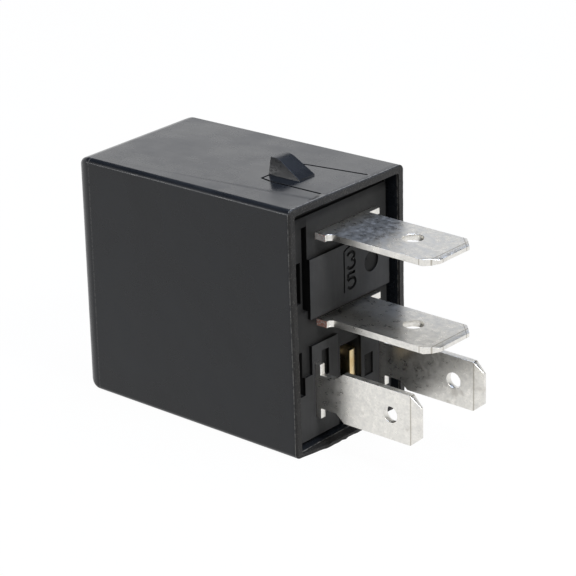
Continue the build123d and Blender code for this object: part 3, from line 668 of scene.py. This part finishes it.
class CoilTurns:
    """A Geometry Nodes tree that lays turns of wire side by side on a bobbin."""

    inputs: tuple[tuple[str, str], ...] = (
        ("Turns", "NodeSocketInt"),
        ("Pitch", "NodeSocketFloat"),
        ("Radius", "NodeSocketFloat"),
        ("Wire radius", "NodeSocketFloat"),
        ("Material", "NodeSocketMaterial"),
    )
    ring_facets: int = 56
    wire_facets: int = 6

    def __init__(self, name: str) -> None:
        """Build the tree.

        Args:
            name: Name of the tree.
        """
        self.tree = bpy.data.node_groups.new(name, "GeometryNodeTree")
        sockets = self.tree.interface
        sockets.new_socket("Geometry", in_out="INPUT", socket_type="NodeSocketGeometry")
        for label, kind in self.inputs:
            sockets.new_socket(label, in_out="INPUT", socket_type=kind)
        sockets.new_socket("Geometry", in_out="OUTPUT", socket_type="NodeSocketGeometry")
        given = self.add("NodeGroupInput", {}).outputs
        step = self.add("ShaderNodeCombineXYZ", {"X": given["Pitch"]})
        row = self.add("GeometryNodeMeshLine", {"Count": given["Turns"], "Offset": step.outputs[0]})
        ring = self.add("GeometryNodeCurvePrimitiveCircle",
                        {"Resolution": self.ring_facets, "Radius": given["Radius"]})
        wire = self.add("GeometryNodeCurvePrimitiveCircle",
                        {"Resolution": self.wire_facets, "Radius": given["Wire radius"]})
        turn = self.add("GeometryNodeCurveToMesh",
                        {"Curve": ring.outputs[0], "Profile Curve": wire.outputs[0]})
        upright = self.add("GeometryNodeTransform",
                           {"Geometry": turn.outputs[0], "Rotation": (0.0, math.pi / 2, 0.0)})
        laid = self.add("GeometryNodeInstanceOnPoints",
                        {"Points": row.outputs[0], "Instance": upright.outputs[0]})
        real = self.add("GeometryNodeRealizeInstances", {"Geometry": laid.outputs[0]})
        painted = self.add("GeometryNodeSetMaterial",
                           {"Geometry": real.outputs[0], "Material": given["Material"]})
        self.add("NodeGroupOutput", {"Geometry": painted.outputs[0]})

    def add(self, kind: str, sockets: dict[str, Any]) -> bpy.types.Node:
        """Add a node to the tree, and link or set its inputs.

        Args:
            kind: Blender's name for the node's type.
            sockets: Values or outputs for its inputs.

        Returns:
            The node.
        """
        made = self.tree.nodes.new(kind)
        for name, value in sockets.items():
            if isinstance(value, bpy.types.NodeSocket):
                self.tree.links.new(value, made.inputs[name])
            else:
                made.inputs[name].default_value = value
        return made

    def grow(self, name: str, values: dict[str, Any]) -> bpy.types.Object:
        """Make an object from the tree with these values of its inputs.

        Args:
            name: Name of the object.
            values: Values by the names of the inputs.

        Returns:
            The finished object, without a modifier.
        """
        made = link(name, bpy.data.meshes.new(name))
        step = made.modifiers.new("turns", "NODES")
        step.node_group = self.tree
        for item in self.tree.interface.items_tree:
            if item.in_out == "INPUT" and item.name in values:
                step[item.identifier] = values[item.name]
        applied(made)
        return made


# ---------------------------------------------------------------- sub-assemblies


@dataclass
class Cover:
    """The snap-fitted cover with its latch tongue and wedge."""

    node: str = "cover"
    edge: float = 0.09
    rim_x: float = 17.4
    rim_edge: float = 0.23
    rim_cut_x: float = 16.35
    rim_step: float = 0.55
    rim_reach: float = 16.0
    rim_roughness: float = 0.035
    lip_bulge: float = 0.75
    lip_thinning: float = 0.38
    lip_half_width: float = 9.25
    lip_z: tuple[float, float] = (0.6, 1.2)
    swell_rise_y: tuple[float, float] = (-10.0, -4.0)
    swell_fall_y: tuple[float, float] = (1.0, 6.0)
    swell_z: tuple[float, float] = (0.9, 1.6)
    rim_inner_y: float = 9.6
    rim_inner_z: tuple[float, float] = (0.45, 30.2)
    finish: CoverPlastic = field(default_factory=CoverPlastic)

    def rounded_rim(self, shell: bpy.types.Object) -> None:
        """Round the outer edge of the cover's open end more than the other edges."""

        def outside(vertex: bmesh.types.BMVert) -> bool:
            """Tell whether a corner lies on the outer edge of the rim."""
            x, y, z = vertex.co / MM
            low, high = self.rim_inner_z
            return x > self.rim_x - 0.01 and (abs(y) > self.rim_inner_y or z < low or z > high)

        form = bmesh.new()
        form.from_mesh(shell.data)
        rim = [edge for edge in form.edges
               if all(outside(end) for end in edge.verts) and edge.calc_face_angle(0.0) > 1.0]
        bmesh.ops.bevel(form, geom=rim, offset=self.rim_edge * MM, segments=4, profile=0.5,
                        affect="EDGES", clamp_overlap=True)
        form.to_mesh(shell.data)
        form.free()

    def uneven_rim(self, shell: bpy.types.Object) -> None:
        """Lean the rim back at its upper near corner, swell it below and roughen it."""
        form = bmesh.new()
        form.from_mesh(shell.data)
        self.sliced_rim(form)
        low, high = self.lip_z
        for vertex in form.verts:
            x, y, z = vertex.co
            if x > (self.rim_cut_x + 0.05) * MM:
                vertex.co.x += self.rim_shift(vertex.co / MM) * MM
                if abs(y) < self.lip_half_width * MM and low * MM < z < high * MM:
                    vertex.co.z -= self.lip_thinning * MM
        form.to_mesh(shell.data)
        form.free()

    def sliced_rim(self, form: bmesh.types.BMesh) -> None:
        """Cut the cover's open end into small facets, so that it can be shaped.

        Args:
            form: Mesh of the cover.
        """
        steps = int(self.rim_reach / self.rim_step)
        cuts = [((self.rim_cut_x, 0.0, 0.0), (1.0, 0.0, 0.0))]
        cuts += [((0.0, index * self.rim_step, 0.0), (0.0, 1.0, 0.0))
                 for index in range(-steps, steps + 1)]
        cuts += [((0.0, 0.0, index * self.rim_step), (0.0, 0.0, 1.0))
                 for index in range(1, 2 * steps)]
        for place, normal in cuts:
            if normal[0] > 0:
                near = form.verts[:] + form.edges[:] + form.faces[:]
            else:
                faces = [face for face in form.faces
                         if all(end.co.x > (self.rim_cut_x - 0.01) * MM for end in face.verts)]
                edges = {edge for face in faces for edge in face.edges}
                near = list({end for edge in edges for end in edge.verts}) + list(edges) + faces
            bmesh.ops.bisect_plane(form, geom=near, dist=1e-7, plane_co=Vector(place) * MM,
                                   plane_no=normal)

    def rim_shift(self, place: Vector) -> float:
        """Return how far the rim stands out at a place, in millimetres."""
        lean = smooth_step(place.z, *RIM_LEAN_Z) * (1.0 - smooth_step(place.y, *RIM_LEAN_Y))
        swell = smooth_step(place.y, *self.swell_rise_y)
        swell *= 1.0 - smooth_step(place.y, *self.swell_fall_y)
        swell *= 1.0 - smooth_step(place.z, *self.swell_z)
        rough = noise.noise(place * 1.7) + 0.6 * noise.noise(place * 4.3)
        bulge = self.lip_bulge * swell * (1.0 + 0.25 * rough)
        return bulge - RIM_LEAN * lean + self.rim_roughness * rough

    def build(self, nodes: dict[str, bpy.types.Object]) -> bpy.types.Object:
        """Replace the cover by a copy with softened edges.

        Args:
            nodes: Objects of the construction's nodes.

        Returns:
            The dressed piece.
        """
        shell = merged_copy(nodes[self.node], "cover_shell")
        self.rounded_rim(shell)
        softened(shell, self.edge)
        self.uneven_rim(shell)
        smoothed(shell)
        dressed(shell, self.finish.build())
        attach(shell, RELAY_BODY)
        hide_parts(self.node)
        return shell


@dataclass
class Base:
    """The moulded plate that carries the terminals, with its engraved marks."""

    node: str = "base"
    edge: float = 0.05
    front_x: float = 16.5
    stroke: float = 0.42
    depth: float = 0.26
    three: Line = (
        (0.62, 22.10), (0.85, 22.42), (1.50, 22.45), (1.95, 22.05), (1.80, 21.62), (1.30, 21.45),
        (1.85, 21.35), (2.05, 20.85), (1.60, 20.42), (0.85, 20.42), (0.60, 20.75),
    )
    five: tuple[Line, ...] = (
        ((2.0, 19.80), (0.75, 19.80)),
        ((0.75, 19.80), (0.65, 19.00)),
        ((0.65, 18.95), (1.25, 19.25), (1.95, 19.0), (2.1, 18.4), (1.6, 17.9), (0.9, 17.9),
         (0.60, 18.2)),
    )
    dots: tuple[Line, ...] = (
        ((4.25, 20.70), (4.25, 20.45)),
        ((3.95, 7.75), (3.95, 7.55)),
        ((3.95, 6.55), (3.95, 6.35)),
    )
    rule: tuple[Line, ...] = (
        ((0.0, 17.6), (0.0, 22.75)),
        ((0.0, 22.75), (0.35, 23.1), (1.6, 23.35)),
    )
    rule_width: float = 0.28
    rule_depth: float = 0.20
    top_groove: Line = ((-8.3, 29.33), (0.0, 29.30), (8.2, 29.34))
    groove_width: float = 0.60
    groove_depth: float = 0.42
    plate_x: float = 16.05
    finish: BasePlastic = field(default_factory=BasePlastic)

    def marks(self) -> list[bpy.types.Object]:
        """Return the cutters of the numbers, the dots, the line and the groove under the rim."""
        digits = (("three", (self.three,)), ("five", self.five), ("dot", self.dots))
        cutters = [front_stroke(f"{name}_{index}", part, self.stroke, self.front_x, self.depth)
                   for name, parts in digits for index, part in enumerate(parts)]
        cutters += [front_stroke(f"rule_{index}", part, self.rule_width, self.front_x,
                                 self.rule_depth)
                    for index, part in enumerate(self.rule)]
        groove = front_stroke("top_groove", self.top_groove, self.groove_width, self.plate_x,
                              self.groove_depth)
        return [*cutters, groove]

    def build(self, nodes: dict[str, bpy.types.Object]) -> bpy.types.Object:
        """Replace the base by a copy with softened edges and engraved marks.

        Args:
            nodes: Objects of the construction's nodes.

        Returns:
            The dressed piece.
        """
        plate = merged_copy(nodes[self.node], "base_plate", whole_faces=False)
        softened(plate, self.edge)
        for cutter in self.marks():
            cut_away(plate, cutter)
        smoothed(plate, angle=15.0)
        dressed(plate, self.finish.build())
        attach(plate, RELAY_BODY)
        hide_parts(self.node)
        return plate


@dataclass
class Terminals:
    """The four tinned blades."""

    names: tuple[str, ...] = ("terminal_1", "terminal_2", "terminal_3", "terminal_5")
    edge: float = 0.055
    finish: TinPlate = field(default_factory=TinPlate)

    def build(self, nodes: dict[str, bpy.types.Object]) -> list[bpy.types.Object]:
        """Replace each blade by a copy with softened edges.

        Args:
            nodes: Objects of the construction's nodes.

        Returns:
            The dressed blades.
        """
        tin = self.finish.build()
        made = []
        for name in self.names:
            blade = merged_copy(nodes[name], name.replace("terminal", "blade"))
            softened(blade, self.edge)
            smoothed(blade, crease_length=2.5)
            dressed(blade, tin)
            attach(blade, RELAY_BODY)
            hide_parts(name)
            made.append(blade)
        return made


@dataclass
class Works:
    """The coil, yoke, armature, contacts and small parts behind the base."""

    bent_copy: str = "contact_leaf"
    turns: int = 64
    bend_cuts: tuple[float, ...] = (-10.4, -9.8, -9.2, -8.6)
    bend_start: Point = (-9.6, 0.9, 26.0)
    bend_end: Point = (-12.6, 0.9, 24.2)

    def finishes(self) -> dict[str, bpy.types.Material]:
        """Return the finish of each material slot inside the relay."""
        steel = ((0.60, 0.60, 0.58), (0.47, 0.47, 0.46))
        kinds = (
            RolledMetal("plated_steel", *steel, roughness=0.30),
            RolledMetal("rivet_steel", (0.66, 0.65, 0.62), (0.50, 0.49, 0.47), roughness=0.26),
            MouldedPart("bobbin_plastic", (0.46, 0.41, 0.29), (0.54, 0.49, 0.37)),
            RolledMetal("enamelled_copper", (0.60, 0.25, 0.10), (0.46, 0.17, 0.07), roughness=0.24),
            MouldedPart("yellow_tape", (0.66, 0.47, 0.06), (0.74, 0.56, 0.12), roughness=0.28),
            RolledMetal("spring_bronze", (0.72, 0.50, 0.28), (0.60, 0.40, 0.22), roughness=0.24),
            RolledMetal("silver_contact", (0.80, 0.79, 0.76), (0.66, 0.65, 0.62), roughness=0.24),
            RolledMetal("yellow_brass", (0.97, 0.80, 0.50), (0.86, 0.64, 0.33), roughness=0.26),
            MouldedPart("resistor_body", (0.58, 0.46, 0.30), (0.66, 0.54, 0.38)),
            RolledMetal("tinned_wire", (0.74, 0.73, 0.70), (0.60, 0.59, 0.57), roughness=0.26),
        )
        return {kind.name: kind.build() for kind in kinds}

    def build(self, nodes: dict[str, bpy.types.Object], slots: dict[str, str]) -> None:
        """Dress the nodes that stay, and replace the leaf spring by a copy cut across near the
        hinge.

        Args:
            nodes: Objects of the construction's nodes.
            slots: Material slot of each node.
        """
        finishes = self.finishes()
        for name, slot in slots.items():
            if slot in finishes:
                dressed(nodes[name], finishes[slot])
        self.leaf(nodes["contact_spring"], finishes["spring_bronze"])
        self.winding(nodes["coil_winding"], finishes["enamelled_copper"])

    def winding(self, node: bpy.types.Object, copper: bpy.types.Material) -> bpy.types.Object:
        """Replace the plain winding by turns of wire of the same size.

        Args:
            node: Object of the winding.
            copper: Its material.

        Returns:
            The turns.
        """
        corners = [corner.co for corner in node.data.vertices]
        low = Vector([min(corner[axis] for corner in corners) for axis in range(3)])
        high = Vector([max(corner[axis] for corner in corners) for axis in range(3)])
        wire = (high.x - low.x) / (2 * self.turns)
        turns = CoilTurns("coil_turns").grow("wire_turns", {
            "Turns": self.turns, "Pitch": 2 * wire, "Radius": (high.z - low.z) / 2 - wire,
            "Wire radius": wire, "Material": copper,
        })
        middle = Vector((low.x + wire, (low.y + high.y) / 2, (low.z + high.z) / 2))
        turns.data.transform(Matrix.Translation(middle))
        smoothed(turns)
        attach(turns, RELAY_BODY)
        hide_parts(node.name)
        return turns

    def leaf(self, node: bpy.types.Object, bronze: bpy.types.Material) -> bpy.types.Object:
        """Replace the leaf spring by a copy that is cut across near the hinge.

        Args:
            node: Object of the leaf.
            bronze: Its material.

        Returns:
            The cut piece.
        """
        leaf = merged_copy(node, self.bent_copy)
        form = bmesh.new()
        form.from_mesh(leaf.data)
        for x in self.bend_cuts:
            whole = form.verts[:] + form.edges[:] + form.faces[:]
            bmesh.ops.bisect_plane(form, geom=whole, plane_co=(x * MM, 0, 0), plane_no=(1, 0, 0))
        form.to_mesh(leaf.data)
        form.free()
        smoothed(leaf)
        dressed(leaf, bronze)
        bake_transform(leaf)
        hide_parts(node.name)
        return leaf


# ---------------------------------------------------------------- studio


@dataclass(frozen=True)
class Lamp:
    """A soft square lamp, with its place and side in millimetres and its power in watts."""

    name: str
    place: Point
    size: float
    power: float
    colour: Colour = (1.0, 1.0, 1.0)
    aim: Point = (0.0, 0.0, 15.0)

    def hang(self) -> bpy.types.Object:
        """Hang the lamp so that it looks at the middle of the relay, and return it."""
        light = bpy.data.lights.new(self.name, "AREA")
        light.color = self.colour
        light.size = self.size * MM
        light.energy = self.power
        made = bpy.data.objects.new(self.name, light)
        bpy.context.scene.collection.objects.link(made)
        made.location = Vector(self.place) * MM
        aim = Vector(self.aim) * MM - made.location
        made.rotation_euler = aim.to_track_quat("-Z", "Y").to_euler()
        return made


@dataclass
class Studio:
    """The pale floor, the soft lamps and the camera, with the floor and flag in metres."""

    floor_size: float = 1.6
    floor_colour: Colour = (0.30, 0.30, 0.30)
    seen_share: float = 0.94
    seen_strength: float = 1.04
    world_strength: float = 0.25
    flag_size: float = 1.5
    flag_height: float = 0.52
    flag_colour: Colour = (0.01, 0.01, 0.01)
    lamps: tuple[Lamp, ...] = (
        Lamp("top_lamp", (20.0, 60.0, 420.0), 300.0, 1.8, (0.78, 0.92, 1.22)),
        Lamp("front_lamp", (300.0, -30.0, 370.0), 130.0, 1.5),
        Lamp("edge_lamp", (-300.0, -390.0, 95.0), 60.0, 0.26),
    )
    lens: float = 168.141
    sensor_width: float = 36.0
    clip: tuple[float, float] = (0.01, 10.0)
    camera_place: Point = (202.42, -224.673, 137.201)
    camera_right: Point = (0.76158, 0.64767, -0.02269)
    camera_up: Point = (-0.22841, 0.30103, 0.92586)
    camera_back: Point = (0.60648, -0.69993, 0.3772)

    def shown_white(self, tree: bpy.types.NodeTree) -> bpy.types.NodeSocket:
        """Return 1 for the rays that see the background straight or in a mirror."""
        path = tree.nodes.new("ShaderNodeLightPath")
        total = path.outputs["Is Camera Ray"]
        for name in ("Is Glossy Ray", "Is Transmission Ray"):
            highest = tree.nodes.new("ShaderNodeMath")
            highest.operation = "MAXIMUM"
            tree.links.new(total, highest.inputs[0])
            tree.links.new(path.outputs[name], highest.inputs[1])
            total = highest.outputs[0]
        return total

    def floor(self) -> bpy.types.Object:
        """Lay the floor, which is seen nearly white and keeps a faint shadow."""
        material = bpy.data.materials.new("pale_floor")
        material.use_nodes = True
        tree = material.node_tree
        tree.nodes.clear()
        paper = tree.nodes.new("ShaderNodeBsdfDiffuse")
        paper.inputs["Color"].default_value = (*self.floor_colour, 1.0)
        glow = tree.nodes.new("ShaderNodeEmission")
        glow.inputs["Strength"].default_value = self.seen_strength
        share = tree.nodes.new("ShaderNodeMath")
        share.operation = "MULTIPLY"
        share.inputs[1].default_value = self.seen_share
        tree.links.new(self.shown_white(tree), share.inputs[0])
        mix = tree.nodes.new("ShaderNodeMixShader")
        output = tree.nodes.new("ShaderNodeOutputMaterial")
        tree.links.new(share.outputs[0], mix.inputs[0])
        tree.links.new(paper.outputs[0], mix.inputs[1])
        tree.links.new(glow.outputs[0], mix.inputs[2])
        tree.links.new(mix.outputs[0], output.inputs["Surface"])
        ground = sheet("studio_floor", 8, self.floor_size, material)
        return ground

    def flag(self) -> bpy.types.Object:
        """Hang a black card over the set, which darkens what the steep faces mirror."""
        material = bpy.data.materials.new("black_card")
        material.use_nodes = True
        surface = material.node_tree.nodes["Principled BSDF"]
        surface.inputs["Base Color"].default_value = (*self.flag_colour, 1.0)
        card = sheet("black_flag", 1, self.flag_size, material)
        card.location = (0.0, 0.0, self.flag_height)
        return card

    def world(self) -> None:
        """Light the scene from all round, and show white behind it."""
        world = bpy.data.worlds.new("studio")
        world.use_nodes = True
        bpy.context.scene.world = world
        tree = world.node_tree
        background = tree.nodes["Background"]
        background.inputs["Color"].default_value = (1.0, 1.0, 1.0, 1.0)
        strength = tree.nodes.new("ShaderNodeMapRange")
        strength.inputs["To Min"].default_value = self.world_strength
        strength.inputs["To Max"].default_value = 1.0
        tree.links.new(self.shown_white(tree), strength.inputs["Value"])
        tree.links.new(strength.outputs[0], background.inputs["Strength"])

    def camera(self) -> bpy.types.Object:
        """Set the camera where the photograph was taken."""
        lens = bpy.data.cameras.new("camera")
        lens.lens = self.lens
        lens.sensor_width = self.sensor_width
        lens.clip_start, lens.clip_end = self.clip
        made = bpy.data.objects.new("camera", lens)
        bpy.context.scene.collection.objects.link(made)
        turn = Matrix((self.camera_right, self.camera_up, self.camera_back)).transposed()
        made.matrix_world = Matrix.Translation(Vector(self.camera_place) * MM) @ turn.to_4x4()
        bpy.context.scene.camera = made
        return made

    def build(self) -> None:
        """Set up the whole studio."""
        bpy.context.scene.view_settings.view_transform = "Standard"
        self.camera()
        self.floor()
        self.world()
        self.flag()
        for lamp in self.lamps:
            lamp.hang()


# ---------------------------------------------------------------- whole scene


def node_slots(record: dict[str, Any]) -> dict[str, str]:
    """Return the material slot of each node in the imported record."""
    return {row["node"]: row["material_slot"] for row in record["subparts"]}


def main() -> None:
    """Build the studio and dress every sub-assembly in order."""
    logging.basicConfig(level=logging.INFO, format="%(name)s: %(message)s")
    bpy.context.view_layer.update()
    nodes = frame["nodes"]
    slots = node_slots(frame["record"])
    Studio().build()
    LOG.info("studio ready")
    Works().build(nodes, slots)
    LOG.info("works dressed")
    LOG.info("made %s", Cover().build(nodes).name)
    LOG.info("made %s", Base().build(nodes).name)
    for blade in Terminals().build(nodes):
        LOG.info("made %s with %d faces", blade.name, len(blade.data.polygons))


if __name__ == "__main__":
    main()
